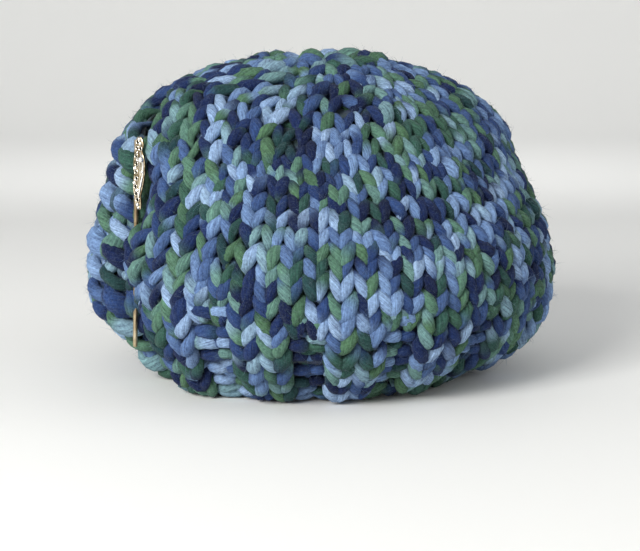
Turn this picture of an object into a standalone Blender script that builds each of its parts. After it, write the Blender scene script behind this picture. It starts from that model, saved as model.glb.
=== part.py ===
"""Tea cosy, hand knitted in very thick wool, closed under the spout by a shawl pin.

The cosy is one knitted wall, shaped like a low dome that swells over the pot and draws in at the
hem. It stands on its hem, with the origin on the surface at the middle of the hem. -Z is down,
the spout leaves towards -X and the handle towards +X. A bearing is an angle about +Z from +X.
"""

import math

import bmesh
import bpy
from mathutils import Matrix, Vector

# ---------------------------------------------------------------- driving dimensions, in metres
WALL = 0.0120                # the knitting is two strands of 6 mm wool thick
TURNS = 60                   # facets round the dome
STATIONS_PER_SPAN = 3        # facets between two points of the outline

# The outer outline from the knob hole down to the hem; the last point runs on below the hem and
# is cut off flat where the cosy stands.
OUTLINE = (
    # radius, height
    (0.0150, 0.1695),
    (0.0270, 0.1720),
    (0.0590, 0.1640),
    (0.0835, 0.1510),
    (0.1020, 0.1310),
    (0.1150, 0.0980),
    (0.1235, 0.0700),
    (0.1258, 0.0530),
    (0.1210, 0.0320),
    (0.1060, 0.0130),
    (0.0905, 0.0000),
    (0.0830, -0.0070),
)

# The slit runs down from the spout's hole to the hem, a little in front of the spout.
SLIT_TOP_HEIGHT = 0.128
SLIT_TOP_BEARING = 197.5
SLIT_FOOT_HEIGHT = 0.022
SLIT_FOOT_BEARING = 197.2
SLIT_WIDTH = 0.0032

# The pin draws both edges of the slit in. The front panel drops to it steeply, the back panel
# gently, and the cloth behind that stands proud.
TUCK_DEPTH = 0.0120
TUCK_OFFSET = 1.0            # degrees in front of the slit
TUCK_FRONT_SPREAD = 8.0      # degrees
TUCK_BACK_SPREAD = 13.0      # degrees
FLARE_HEIGHT = 0.0030
FLARE_OFFSET = -15.0         # degrees, behind the slit
FLARE_SPREAD = 10.0          # degrees

# The wool sits fuller over the spout's shoulder and the whole dome is slightly uneven.
SHOULDER_SWELL = 0.0025
WAVE_HEIGHT = 0.0013

# The spout and the handle hold the cloth up along a ridge between them. In front of the ridge
# and behind it the cloth hangs nearer to a straight slope from the knob hole to the belly.
SLOPE_TOP_RADIUS = 0.0290
SLOPE_TOP_HEIGHT = 0.1715
SLOPE_FALL = 46.0            # degrees below the level
SLOPE_PULL = 0.65            # share of the way in to the slope that the cloth hangs
SLOPE_ONSET = 0.0040         # the pull starts softly over about this distance
RIDGE_BEARING = 6.0          # degrees, through the handle and the spout
RIDGE_HALF_WIDTH = 14.0      # degrees to each side that are held up
RIDGE_BLEND = 46.0           # degrees over which the cloth then lets go

# Holes for the spout and the handle: pointed ovals, along the dome's slope.
SPOUT_HOLE_BEARING = 188.0
SPOUT_HOLE_HEIGHT = 0.1410
SPOUT_HOLE_SLOPE = 36.0      # degrees that the hole faces above the level
SPOUT_HOLE_LEAN = 26.0       # degrees that its lower tip leans towards the slit
SPOUT_HOLE_WIDTH = 0.0290
SPOUT_HOLE_LENGTH = 0.0420
HANDLE_HOLE_BEARING = 4.0
HANDLE_HOLE_HEIGHT = 0.0920
HANDLE_HOLE_SLOPE = 15.0
HANDLE_HOLE_LEAN = 0.0
HANDLE_HOLE_WIDTH = 0.0240
HANDLE_HOLE_LENGTH = 0.0720

# The shawl pin: a straight needle through both edges of the slit, with a cast openwork head.
NEEDLE_TOP_RADIUS = 0.1091   # distance of the needle's ends from the cosy's axis
NEEDLE_FOOT_RADIUS = 0.1118
NEEDLE_DIAMETER = 0.0024
NEEDLE_TIP_LENGTH = 0.0014
NEEDLE_SIDES = 16
HEAD_LENGTH = 0.0360
HEAD_WIDTH = 0.0072
HEAD_THICKNESS = 0.0020
HEAD_TURN = 22.0             # degrees that the head's face turns towards the front of the cosy
HEAD_SIDEWAYS = 0.0042       # the head's middle lies this far to the front of the needle
HEAD_ABOVE_NEEDLE = 0.0015   # the head reaches past the needle's blunt end
CLEARANCE = 0.0004

# Round holes through the head, from its top down.
HEAD_HOLES = (
    # distance from the top, sideways, diameter
    (0.0043, 0.0000, 0.0024),
    (0.0099, 0.0000, 0.0018),
    (0.0144, -0.0016, 0.0020),
    (0.0144, 0.0016, 0.0020),
    (0.0196, 0.0000, 0.0020),
    (0.0234, -0.0013, 0.0016),
    (0.0234, 0.0013, 0.0016),
    (0.0308, 0.0000, 0.0016),
)

# The head's half width down its length: four lobes, the second the widest.
HEAD_SHAPE = (
    # share of the length, share of the half width
    (0.00, 0.26),
    (0.03, 0.56),
    (0.10, 0.78),
    (0.18, 0.72),
    (0.25, 0.62),
    (0.32, 0.88),
    (0.40, 1.00),
    (0.49, 0.90),
    (0.57, 0.72),
    (0.65, 0.84),
    (0.73, 0.70),
    (0.79, 0.48),
    (0.87, 0.54),
    (0.94, 0.42),
    (1.00, 0.28),
)


# ---------------------------------------------------------------- small helpers
def smooth_step(value, low, high):
    """Rises from 0 at low to 1 at high with level ends."""
    share = min(max((value - low) / (high - low), 0.0), 1.0)
    return share * share * (3.0 - 2.0 * share)


def spline_point(points, span, share):
    """A point on the smooth curve that runs through all the points."""
    before = points[max(span - 1, 0)]
    start = points[span]
    end = points[span + 1]
    after = points[min(span + 2, len(points) - 1)]
    result = []
    for a, b, c, d in zip(before, start, end, after):
        bend = (2.0 * a - 5.0 * b + 4.0 * c - d) * share + (3.0 * (b - c) + d - a) * share * share
        result.append(b + 0.5 * share * ((c - a) + bend))
    return tuple(result)


def spline_points(points, steps):
    """The smooth curve through the points, with equal steps in each span."""
    curve = []
    for span in range(len(points) - 1):
        for step in range(steps):
            curve.append(spline_point(points, span, step / steps))
    curve.append(points[-1])
    return curve


def polar(radius, bearing, height):
    angle = math.radians(bearing)
    return Vector((radius * math.cos(angle), radius * math.sin(angle), height))


def empty_collection(name):
    old = bpy.data.collections.get(name)
    if old is not None:
        bpy.data.collections.remove(old)
    collection = bpy.data.collections.new(name)
    bpy.context.scene.collection.children.link(collection)
    return collection


def add_object(name, mesh, collection):
    item = bpy.data.objects.new(name, mesh)
    collection.objects.link(item)
    return item


def mesh_from(builder, name):
    mesh = bpy.data.meshes.new(name)
    builder.normal_update()
    builder.to_mesh(mesh)
    builder.free()
    return mesh


def plain_material(name, colour, roughness, metallic):
    material = bpy.data.materials.new(name)
    material.use_nodes = True
    shader = material.node_tree.nodes["Principled BSDF"]
    shader.inputs["Base Color"].default_value = (*colour, 1.0)
    shader.inputs["Roughness"].default_value = roughness
    shader.inputs["Metallic"].default_value = metallic
    return material


def smooth_shade(mesh, angle):
    mesh.shade_smooth()
    mesh.set_sharp_from_angle(angle=math.radians(angle))


def cut(target, cutter):
    modifier = target.modifiers.new("cut_" + cutter.name, "BOOLEAN")
    modifier.operation = "DIFFERENCE"
    modifier.object = cutter


def hide_cutter(cutter):
    cutter.hide_render = True
    cutter.display_type = "WIRE"
    return cutter


# ---------------------------------------------------------------- the knitted wall
def slit_bearing(height):
    """Where the slit runs at this height, in degrees."""
    share = (SLIT_TOP_HEIGHT - height) / (SLIT_TOP_HEIGHT - SLIT_FOOT_HEIGHT)
    return SLIT_TOP_BEARING + share * (SLIT_FOOT_BEARING - SLIT_TOP_BEARING)


def bell(bearing, middle, spread):
    """1 at the middle bearing, falling away on both sides of it."""
    off = (bearing - middle + 180.0) % 360.0 - 180.0
    return math.exp(-((off / spread) ** 2))


def push_out(bearing, height):
    """How far the worn dome stands out from, or in from, its turned outline."""
    slit = slit_bearing(height)
    tucked = smooth_step(height, 0.0, 0.040) * (1.0 - smooth_step(height, 0.095, 0.135))
    flared = smooth_step(height, 0.0, 0.030) * (1.0 - smooth_step(height, 0.090, 0.130))
    in_front = (bearing - slit - TUCK_OFFSET + 180.0) % 360.0 > 180.0
    spread = TUCK_FRONT_SPREAD if in_front else TUCK_BACK_SPREAD
    out = -TUCK_DEPTH * tucked * bell(bearing, slit + TUCK_OFFSET, spread)
    out += FLARE_HEIGHT * flared * bell(bearing, slit + FLARE_OFFSET, FLARE_SPREAD)
    angle = math.radians(bearing)
    body = smooth_step(height, 0.0, 0.030) * (1.0 - smooth_step(height, 0.150, 0.170))
    out -= SHOULDER_SWELL * math.cos(angle) * smooth_step(height, 0.070, 0.130) * body
    out += WAVE_HEIGHT * math.sin(3.0 * angle + 1.1 + 20.0 * height) * body
    return out


def slope_pull(bearing, radius, height):
    """How far the cloth hangs in towards the slope where nothing holds it up."""
    off_ridge = abs((bearing - RIDGE_BEARING + 90.0) % 180.0 - 90.0)
    loose = smooth_step(off_ridge, RIDGE_HALF_WIDTH, RIDGE_HALF_WIDTH + RIDGE_BLEND)
    fall = math.radians(SLOPE_FALL)
    beyond = (radius - SLOPE_TOP_RADIUS) * math.sin(fall)
    beyond += (height - SLOPE_TOP_HEIGHT) * math.cos(fall)
    beyond = max(beyond, 0.0)
    return SLOPE_PULL * loose * beyond * beyond / (beyond + SLOPE_ONSET)


def oval_cutter(name, bearing, height, slope, lean, width, length, collection):
    """A pointed oval prism that runs out through the wall, facing up by the slope."""
    depth = 0.120
    steps = 12
    builder = bmesh.new()
    outline = []
    for side in (1.0, -1.0):
        for step in range(steps):
            share = step / steps
            along = side * (0.5 - share) * length
            across = side * 0.5 * width * math.sin(math.pi * share) ** 0.8
            outline.append(builder.verts.new((0.0, across, along)))
    face = builder.faces.new(outline)
    bmesh.ops.translate(builder, verts=builder.verts, vec=(-0.5 * depth, 0.0, 0.0))
    grown = bmesh.ops.extrude_face_region(builder, geom=[face])
    far = [part for part in grown["geom"] if isinstance(part, bmesh.types.BMVert)]
    bmesh.ops.translate(builder, verts=far, vec=(depth, 0.0, 0.0))
    bmesh.ops.recalc_face_normals(builder, faces=builder.faces)
    cutter = add_object(name, mesh_from(builder, name), collection)
    cutter.location = polar(outer_radius(height), bearing, height)
    cutter.rotation_euler = (math.radians(lean), -math.radians(slope), math.radians(bearing))
    return hide_cutter(cutter)


def outer_radius(height):
    """The turned outline's radius at a height below the crown."""
    curve = spline_points(OUTLINE, 12)
    for upper, lower in zip(curve, curve[1:]):
        if lower[1] <= height <= upper[1] and upper[0] > OUTLINE[1][0]:
            share = (upper[1] - height) / (upper[1] - lower[1])
            return upper[0] + share * (lower[0] - upper[0])
    return OUTLINE[0][0]


def needle_ends():
    top = polar(NEEDLE_TOP_RADIUS, SLIT_TOP_BEARING, SLIT_TOP_HEIGHT)
    foot = polar(NEEDLE_FOOT_RADIUS, SLIT_FOOT_BEARING, SLIT_FOOT_HEIGHT)
    return top, foot


def slit_cutter(collection):
    """A thin flat plate along the needle, from inside the cosy to well outside it."""
    top, foot = needle_ends()
    down = (foot - top).normalized()
    middle = (top + foot) * 0.5
    outwards = Vector((middle.x, middle.y, 0.0)).normalized()
    across = down.cross(outwards).normalized()
    outwards = across.cross(down).normalized()
    builder = bmesh.new()
    bmesh.ops.create_cube(builder, size=1.0)
    bmesh.ops.scale(builder, verts=builder.verts, vec=(0.070, SLIT_WIDTH, 0.150))
    cutter = add_object("slit_cutter", mesh_from(builder, "slit_cutter"), collection)
    frame = Matrix((outwards, across, -down)).transposed().to_4x4()
    frame.translation = top + down * 0.071
    cutter.matrix_world = frame
    return hide_cutter(cutter)


def ground_cutter(collection):
    """A block under the surface, which cuts the hem flat."""
    builder = bmesh.new()
    bmesh.ops.create_cube(builder, size=1.0)
    bmesh.ops.scale(builder, verts=builder.verts, vec=(0.400, 0.400, 0.040))
    bmesh.ops.translate(builder, verts=builder.verts, vec=(0.0, 0.0, -0.020))
    return hide_cutter(add_object("ground_cutter", mesh_from(builder, "ground_cutter"), collection))


def turned_dome(collection):
    """The outline turned about Z, then pushed out and in to the shape in which it is worn."""
    builder = bmesh.new()
    points = spline_points(OUTLINE, STATIONS_PER_SPAN)
    corners = [builder.verts.new((radius, 0.0, height)) for radius, height in points]
    for upper, lower in zip(corners, corners[1:]):
        builder.edges.new((upper, lower))
    outline = add_object("outline", mesh_from(builder, "outline"), collection)
    screw = outline.modifiers.new("turn", "SCREW")
    screw.axis = "Z"
    screw.angle = math.tau
    screw.steps = TURNS
    screw.render_steps = TURNS
    screw.use_merge_vertices = True
    screw.merge_threshold = 0.0001
    bpy.context.view_layer.update()
    graph = bpy.context.evaluated_depsgraph_get()
    mesh = bpy.data.meshes.new_from_object(outline.evaluated_get(graph))
    bpy.data.objects.remove(outline)
    for vertex in mesh.vertices:
        place = vertex.co
        radius = math.hypot(place.x, place.y)
        bearing = math.degrees(math.atan2(place.y, place.x)) % 360.0
        pull = slope_pull(bearing, radius, place.z)
        outer = radius + push_out(bearing, place.z) - pull * math.sin(math.radians(SLOPE_FALL))
        vertex.co = polar(outer, bearing, place.z - pull * math.cos(math.radians(SLOPE_FALL)))
    mesh.name = "cosy_knit"
    return mesh


def make_cosy(parts, cutters):
    cosy = add_object("cosy_knit", turned_dome(parts), parts)
    smooth_shade(cosy.data, 50.0)
    wall = cosy.modifiers.new("wall", "SOLIDIFY")
    wall.thickness = WALL
    wall.offset = -1.0
    cut(cosy, oval_cutter("spout_cutter", SPOUT_HOLE_BEARING, SPOUT_HOLE_HEIGHT, SPOUT_HOLE_SLOPE,
                          SPOUT_HOLE_LEAN, SPOUT_HOLE_WIDTH, SPOUT_HOLE_LENGTH, cutters))
    cut(cosy, oval_cutter("handle_cutter", HANDLE_HOLE_BEARING, HANDLE_HOLE_HEIGHT,
                          HANDLE_HOLE_SLOPE, HANDLE_HOLE_LEAN, HANDLE_HOLE_WIDTH,
                          HANDLE_HOLE_LENGTH, cutters))
    cut(cosy, slit_cutter(cutters))
    cut(cosy, ground_cutter(cutters))
    cosy.data.materials.append(plain_material("wool", (0.13, 0.20, 0.33), 0.9, 0.0))
    return cosy


# ---------------------------------------------------------------- the shawl pin
def needle_frame():
    """The needle's own axes: X out from the cosy, Z up along it, with the origin at its top."""
    top, foot = needle_ends()
    up = (top - foot).normalized()
    outwards = Vector((top.x + foot.x, top.y + foot.y, 0.0)).normalized()
    across = up.cross(outwards).normalized()
    outwards = across.cross(up).normalized()
    frame = Matrix((outwards, across, up)).transposed().to_4x4()
    frame.translation = top
    return frame


def make_needle(parts):
    """A turned wire: blunt under the head, and rounded off at its foot."""
    top, foot = needle_ends()
    length = (top - foot).length
    radius = 0.5 * NEEDLE_DIAMETER
    point = 0.45 * radius
    profile = (
        (0.0, 0.0),
        (radius, 0.0),
        (radius, NEEDLE_TIP_LENGTH - length),
        (0.88 * radius, 0.35 * NEEDLE_TIP_LENGTH - length),
        (point, -length),
        (0.0, -length),
    )
    builder = bmesh.new()
    corners = [builder.verts.new((out, 0.0, up)) for out, up in profile]
    for upper, lower in zip(corners, corners[1:]):
        builder.edges.new((upper, lower))
    needle = add_object("pin_needle", mesh_from(builder, "pin_needle"), parts)
    screw = needle.modifiers.new("turn", "SCREW")
    screw.axis = "Z"
    screw.angle = math.tau
    screw.steps = NEEDLE_SIDES
    screw.render_steps = NEEDLE_SIDES
    screw.use_merge_vertices = True
    screw.merge_threshold = 0.00005
    screw.use_smooth_shade = True
    needle.matrix_world = needle_frame()
    needle.data.materials.append(plain_material("aged_brass", (0.50, 0.36, 0.17), 0.35, 1.0))
    return needle


def make_head(parts, cutters):
    """A thin cast plate on the needle's outer side, pierced by round holes."""
    shape = spline_points(HEAD_SHAPE, 3)
    builder = bmesh.new()
    half = 0.5 * HEAD_WIDTH
    right = [(share * -HEAD_LENGTH, half * wide) for share, wide in shape]
    left = [(along, -across) for along, across in reversed(right)]
    corners = [builder.verts.new((0.0, across, along)) for along, across in right + left]
    face = builder.faces.new(corners)
    grown = bmesh.ops.extrude_face_region(builder, geom=[face])
    outer = [part for part in grown["geom"] if isinstance(part, bmesh.types.BMVert)]
    bmesh.ops.translate(builder, verts=outer, vec=(HEAD_THICKNESS, 0.0, 0.0))
    bmesh.ops.recalc_face_normals(builder, faces=builder.faces)
    head = add_object("pin_head", mesh_from(builder, "pin_head"), parts)
    turn = Matrix.Rotation(math.radians(HEAD_TURN), 4, "Z")
    back = 0.5 * NEEDLE_DIAMETER / math.cos(math.radians(HEAD_TURN)) + CLEARANCE
    place = needle_frame() @ turn @ Matrix.Translation((back, HEAD_SIDEWAYS, HEAD_ABOVE_NEEDLE))
    head.matrix_world = place
    for number, (down, sideways, diameter) in enumerate(HEAD_HOLES):
        builder = bmesh.new()
        bmesh.ops.create_cone(builder, cap_ends=True, segments=14, radius1=0.5 * diameter,
                              radius2=0.5 * diameter, depth=3.0 * HEAD_THICKNESS)
        name = "head_hole_%d" % number
        drill = add_object(name, mesh_from(builder, name), cutters)
        level = Matrix.Rotation(math.radians(90.0), 4, "Y")
        drill.matrix_world = place @ Matrix.Translation((0.5 * HEAD_THICKNESS, sideways, -down)) @ level
        cut(head, hide_cutter(drill))
    head.data.materials.append(plain_material("antique_silver", (0.62, 0.57, 0.47), 0.32, 1.0))
    return head


# ---------------------------------------------------------------- build
for item in list(bpy.data.objects):
    bpy.data.objects.remove(item)

cosy_parts = empty_collection("tea_cosy")
cosy_cutters = empty_collection("cutters")
make_cosy(cosy_parts, cosy_cutters)
make_needle(cosy_parts)
make_head(cosy_parts, cosy_cutters)
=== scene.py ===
import math

import bpy
import numpy as np
from mathutils import Matrix, Vector


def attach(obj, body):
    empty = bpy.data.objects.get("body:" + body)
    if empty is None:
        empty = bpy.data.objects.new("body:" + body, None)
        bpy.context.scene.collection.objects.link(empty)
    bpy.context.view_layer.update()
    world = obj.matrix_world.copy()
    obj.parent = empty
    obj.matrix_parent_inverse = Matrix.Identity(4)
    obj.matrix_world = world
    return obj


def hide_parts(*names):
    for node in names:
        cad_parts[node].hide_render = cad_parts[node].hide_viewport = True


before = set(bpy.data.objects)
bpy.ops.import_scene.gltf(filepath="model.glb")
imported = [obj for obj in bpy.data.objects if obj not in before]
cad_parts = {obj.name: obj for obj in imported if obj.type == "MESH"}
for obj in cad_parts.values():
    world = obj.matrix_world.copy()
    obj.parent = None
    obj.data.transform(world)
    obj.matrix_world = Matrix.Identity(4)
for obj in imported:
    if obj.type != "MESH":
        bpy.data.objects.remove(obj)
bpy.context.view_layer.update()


# ---------------------------------------------------------------- the felted middle of the cloth, darkened as painted shade
# One wall of very thick single-ply wool, knitted from the hem up and drawn in at the crown. This
# is the felted middle of that wall, coloured darker than the yarn as painted shade in the gaps behind the
# loops, and every strand lies along it.
WALL = 0.0120
OUTLINE = np.array((
    # radius, height
    (0.0830, -0.0070),
    (0.0905, 0.0000),
    (0.1060, 0.0130),
    (0.1210, 0.0320),
    (0.1258, 0.0530),
    (0.1235, 0.0700),
    (0.1150, 0.0980),
    (0.1020, 0.1310),
    (0.0835, 0.1510),
    (0.0590, 0.1640),
    (0.0270, 0.1720),
    (0.0150, 0.1695),
))
FRONT_EDGE, HANDLE_EDGE, BACK_EDGE = -164.0, 4.0, 196.0   # bearings where the two panels end
SLIT_GAP = 0.0024            # from the slit's middle line to the last stitch
SLIT_TOP, SLIT_LENGTH = 0.128, 0.106
SLIT_BEARING, SLIT_LEAN = 197.5, 0.3   # bearing of its top, and how much less it is at its foot
SPOUT_HOLE = dict(bearing=188.0, height=0.1410, radius=0.095, lean=26.0, width=0.0290, length=0.0420)
HANDLE_HOLE = dict(bearing=4.0, height=0.0920, lean=0.0, width=0.0240, length=0.0720)
GIVING = 22                  # degrees beside a hole over which the stitches give way to it
MAT_THICKNESS = 0.0015
MAT_FOOT, MAT_TALL = 0.003, 0.229   # how far up the cloth the mat starts, and how far it reaches
MAT_SUNK = -0.0020           # from the middle of the wall in to the mat
CROWN_SAG = 0.0030           # how far the crown has sunk round the knob's hole
SLOPE = math.radians(46)     # the straight slope towards which the front and the back hang
SLOPE_TOP_RADIUS, SLOPE_TOP_HEIGHT = 0.0290, 0.1715
SLOPE_SHARE = 0.65           # the cloth hangs this share of the way in to the slope
SLOPE_ONSET = 0.0040         # and leaves the round outline softly over this distance
RIDGE_BEARING = 6            # the ridge from handle to spout, on which the cloth is held up
RIDGE_HELD, RIDGE_FREE = 14, 60   # degrees off the ridge where the cloth starts to hang, and hangs fully
WORN_PLACES = (
    # out, from height, to height, gone again from height, to height, bearing, spread
    (0.0060, None, None, 0, 0.024, 214, 16),
    (-0.0120, None, None, 0.002, 0.022, -50, 24),
    (-0.0115, 0, 0.008, 0.018, 0.038, 172, 20),
    (0.0030, 0.112, 0.142, 0.146, 0.162, -20, 45),
)


def smooth_curve(points, steps):
    """The smooth curve through the points, with equal steps between them."""
    curve = []
    for span in range(len(points) - 1):
        a, b, c, d = (points[min(max(span + k, 0), len(points) - 1)] for k in (-1, 0, 1, 2))
        for step in range(steps):
            t = step / steps
            bend = (2 * a - 5 * b + 4 * c - d) * t + (3 * (b - c) + d - a) * t * t
            curve.append(b + 0.5 * t * ((c - a) + bend))
    return np.array(curve + [points[-1]])


turned = smooth_curve(OUTLINE, 40)
turned_along = np.r_[0, np.cumsum(np.hypot(*np.diff(turned, axis=0).T))]
turned_along -= np.interp(0, turned[:80, 1], turned_along[:80])


def height_at(along):
    return np.interp(along, turned_along, turned[:, 1])


def along_at(height):
    side = turned[:, 1].argmax()
    return np.interp(height, turned[:side, 1], turned_along[:side])


def radius_at(along):
    return np.interp(along, turned_along, turned[:, 0])


def rising(value, low, high):
    share = np.clip((value - low) / (high - low), 0, 1)
    return share * share * (3 - 2 * share)


def bell(bearing, middle, spread):
    return np.exp(-(((bearing - middle + 180) % 360 - 180) / spread) ** 2)


def slit_bearing(height):
    return SLIT_BEARING - SLIT_LEAN * (SLIT_TOP - height) / SLIT_LENGTH


def worn(bearing, height):
    """How far the worn cosy stands out from, or in from, its round outline."""
    slit = slit_bearing(height)
    ahead = (bearing - slit - 1 + 180) % 360 - 180
    tucked = rising(height, 0, 0.040) * (1 - rising(height, 0.095, 0.135))
    flared = rising(height, 0, 0.030) * (1 - rising(height, 0.090, 0.130))
    out = -0.0120 * tucked * np.exp(-(ahead / np.where(ahead > 0, 8, 13)) ** 2)
    out = out + 0.0030 * flared * bell(bearing, slit - 15, 10)
    out = out - 0.0060 * (1 - rising(height, 0, 0.040)) * bell(bearing, slit, 15)
    for far, low, full, fading, gone, middle, spread in WORN_PLACES:
        here = 1.0 if low is None else rising(height, low, full)
        out = out + far * here * (1 - rising(height, fading, gone)) * bell(bearing, middle, spread)
    angle = np.radians(bearing)
    body = rising(height, 0, 0.030) * (1 - rising(height, 0.150, 0.170))
    out = out - 0.0025 * np.cos(angle) * rising(height, 0.070, 0.130) * body
    return out + 0.0013 * np.sin(3 * angle + 1.1 + 20 * height) * body


def slope_pull(bearing, radius, height):
    """How far the cloth hangs in towards that slope, where spout and handle don't hold it."""
    off_ridge = np.abs((bearing - RIDGE_BEARING + 90) % 180 - 90)
    beyond = (radius - SLOPE_TOP_RADIUS) * math.sin(SLOPE) + (height - SLOPE_TOP_HEIGHT) * math.cos(SLOPE)
    beyond = np.maximum(beyond, 0)
    return SLOPE_SHARE * rising(off_ridge, RIDGE_HELD, RIDGE_FREE) * beyond ** 2 / (beyond + SLOPE_ONSET)


def half_open(along, hole):
    """Half the width of a pointed oval hole, at a place along the slope."""
    up = (along - along_at(hole["height"])) / (hole["length"] * math.cos(math.radians(hole["lean"])))
    return 0.5 * hole["width"] * np.sin(np.pi * np.clip(0.5 - up, 0, 1)) ** 0.8


def seam_shift(along):
    """How far the slit, and then the spout's hole, run from the bearing where the panels end."""
    height = height_at(along)
    rise = along - along_at(SPOUT_HOLE["height"])
    lean = -np.degrees(math.tan(math.radians(SPOUT_HOLE["lean"])) * rise / SPOUT_HOLE["radius"])
    over = rising(height, 0.124, 0.136)
    hole = SPOUT_HOLE["bearing"] + np.clip(lean, -6, 6)
    return slit_bearing(height) * (1 - over) + hole * over - BACK_EDGE


def opened(bearing, along, front):
    """A bearing on the closed dome, moved to make room for the slit and both holes."""
    radius, height, way = radius_at(along), height_at(along), np.where(front, 1, -1)
    pinned = rising(height, 0.057, 0.066) * (1 - rising(height, 0.080, 0.088))
    slit = SLIT_GAP * (1 - 0.9 * pinned) * (1 - rising(height, 0.128, 0.136))
    hole = half_open(along, SPOUT_HOLE)
    off = np.where(front, bearing - FRONT_EDGE, BACK_EDGE - bearing)
    moved = seam_shift(along) * np.exp(-off / 35) * rising(0.168 - height, 0, 0.012)
    parted = np.maximum(slit, hole + 0.0012 * (hole > 0))
    moved = moved + way * np.degrees(parted / radius) * np.exp(-off / GIVING)
    off = np.where(front, HANDLE_EDGE - bearing, bearing - HANDLE_EDGE)
    return bearing + moved - way * np.degrees(half_open(along, HANDLE_HOLE) / radius) * np.exp(-off / GIVING)


def cloth_point(bearing, along, out):
    """A point in the wall: out is its distance outwards from the wall's middle."""
    def surface(b, a):
        below = np.minimum(a, 0.0)
        radius = radius_at(a) + 0.7 * below
        height = height_at(np.maximum(a, 0.0)) + 0.7 * below
        pull = slope_pull(b, radius, height)
        radius = radius + worn(b, height) - pull * math.sin(SLOPE)
        height = height - pull * math.cos(SLOPE)
        angle = np.radians(b)
        return np.stack([radius * np.cos(angle), radius * np.sin(angle), height], -1)
    bearing, along, out = (np.asarray(x, float) for x in np.broadcast_arrays(bearing, along, out))
    across = surface(bearing + 0.4, along) - surface(bearing - 0.4, along)
    up = surface(bearing, along + 0.002) - surface(bearing, along - 0.002)
    normal = np.cross(across, up)
    normal /= np.linalg.norm(normal, axis=-1, keepdims=True)
    sunk = CROWN_SAG * rising(along, 0.170, 0.222) * (1 - 0.6 * bell(bearing, 190, 50))
    return surface(bearing, along) + normal * (out - 0.5 * WALL - sunk)[..., None]


def deselect_all():
    if bpy.context.object and bpy.context.object.mode != "OBJECT":
        bpy.ops.object.mode_set(mode="OBJECT")
    bpy.ops.object.select_all(action="DESELECT")


def lay_panel(name, first, last, columns, rows):
    """A flat grid laid on the dome between two bearings."""
    deselect_all()
    bpy.ops.mesh.primitive_grid_add(x_subdivisions=columns, y_subdivisions=rows, size=1)
    panel = bpy.context.object
    panel.name = name
    place = np.array([v.co for v in panel.data.vertices])
    bearing = first + (last - first) * (place[:, 0] + 0.5)
    along = MAT_FOOT + MAT_TALL * (place[:, 1] + 0.5)
    laid = cloth_point(opened(bearing, along, first == FRONT_EDGE), along, MAT_SUNK)
    laid[:, 2] = np.maximum(laid[:, 2], MAT_THICKNESS)
    for vertex, point in zip(panel.data.vertices, laid):
        vertex.co = point
    return panel


mat_front = lay_panel("cloth_middle", FRONT_EDGE, HANDLE_EDGE, 70, 56)
mat_back = lay_panel("cloth_middle_back", HANDLE_EDGE, BACK_EDGE, 80, 56)
deselect_all()
mat_back.select_set(True)
mat_front.select_set(True)
bpy.context.view_layer.objects.active = mat_front
bpy.ops.object.join()
cloth_middle = bpy.context.object
bpy.ops.object.mode_set(mode="EDIT")
bpy.ops.mesh.select_all(action="SELECT")
bpy.ops.mesh.remove_doubles(threshold=0.0003)
bpy.ops.mesh.normals_make_consistent(inside=False)
bpy.ops.object.mode_set(mode="OBJECT")
thicken = cloth_middle.modifiers.new("thicken", "SOLIDIFY")
thicken.thickness = MAT_THICKNESS
thicken.offset = 0
bpy.ops.object.modifier_apply(modifier="thicken")
bpy.ops.object.shade_smooth()


class Wire:
    """A socket in a material's nodes, on which sums are written as on numbers."""

    def __init__(self, tree, socket=None):
        self.tree = tree
        self.socket = socket

    def node(self, kind, settings=(), sockets=(), out=0):
        made = self.tree.nodes.new("ShaderNode" + kind)
        for name, value in dict(settings).items():
            if name == "stops":
                while len(made.color_ramp.elements) < len(value):
                    made.color_ramp.elements.new(0.5)
                for stop, (place, colour) in zip(made.color_ramp.elements, value):
                    stop.position = place
                    stop.color = (*colour, 1)
            else:
                setattr(made, name, value)
        for name, value in dict(sockets).items():
            if isinstance(value, Wire):
                self.tree.links.new(value.socket, made.inputs[name])
            else:
                made.inputs[name].default_value = value
        return Wire(self.tree, made.outputs[out])

    def sum(self, operation, *values):
        return self.node("Math", {"operation": operation}, dict(enumerate(values)))

    def __add__(self, other):
        return self.sum("ADD", self, other)

    def __sub__(self, other):
        return self.sum("SUBTRACT", self, other)

    def __mul__(self, other):
        return self.sum("MULTIPLY", self, other)

    def __rmul__(self, other):
        return self.sum("MULTIPLY", other, self)

    def __truediv__(self, other):
        return self.sum("DIVIDE", self, other)

    def between(self, low, high, to_low=0.0, to_high=1.0):
        """This value's range low to high, carried smoothly to another."""
        return self.node("MapRange", {"interpolation_type": "SMOOTHSTEP"},
                         {0: self, 1: low, 2: high, 3: to_low, 4: to_high})

    def tint(self, kind, share, other):
        """This colour mixed with another."""
        return self.node("Mix", {"data_type": "RGBA", "blend_type": kind},
                         {0: share, 6: self, 7: other}, out=2)


def finish_of(name, **constants):
    """A new material: its own node maker, and its shader with these constant sockets."""
    material = bpy.data.materials.new(name)
    material.use_nodes = True
    shader = material.node_tree.nodes["Principled BSDF"]
    for socket, value in constants.items():
        shader.inputs[socket.replace("_", " ")].default_value = value
    return material, Wire(material.node_tree), shader


def feed(shader, **sockets):
    for name, wire in sockets.items():
        wire.tree.links.new(wire.socket, shader.inputs[name.replace("_", " ")])


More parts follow.
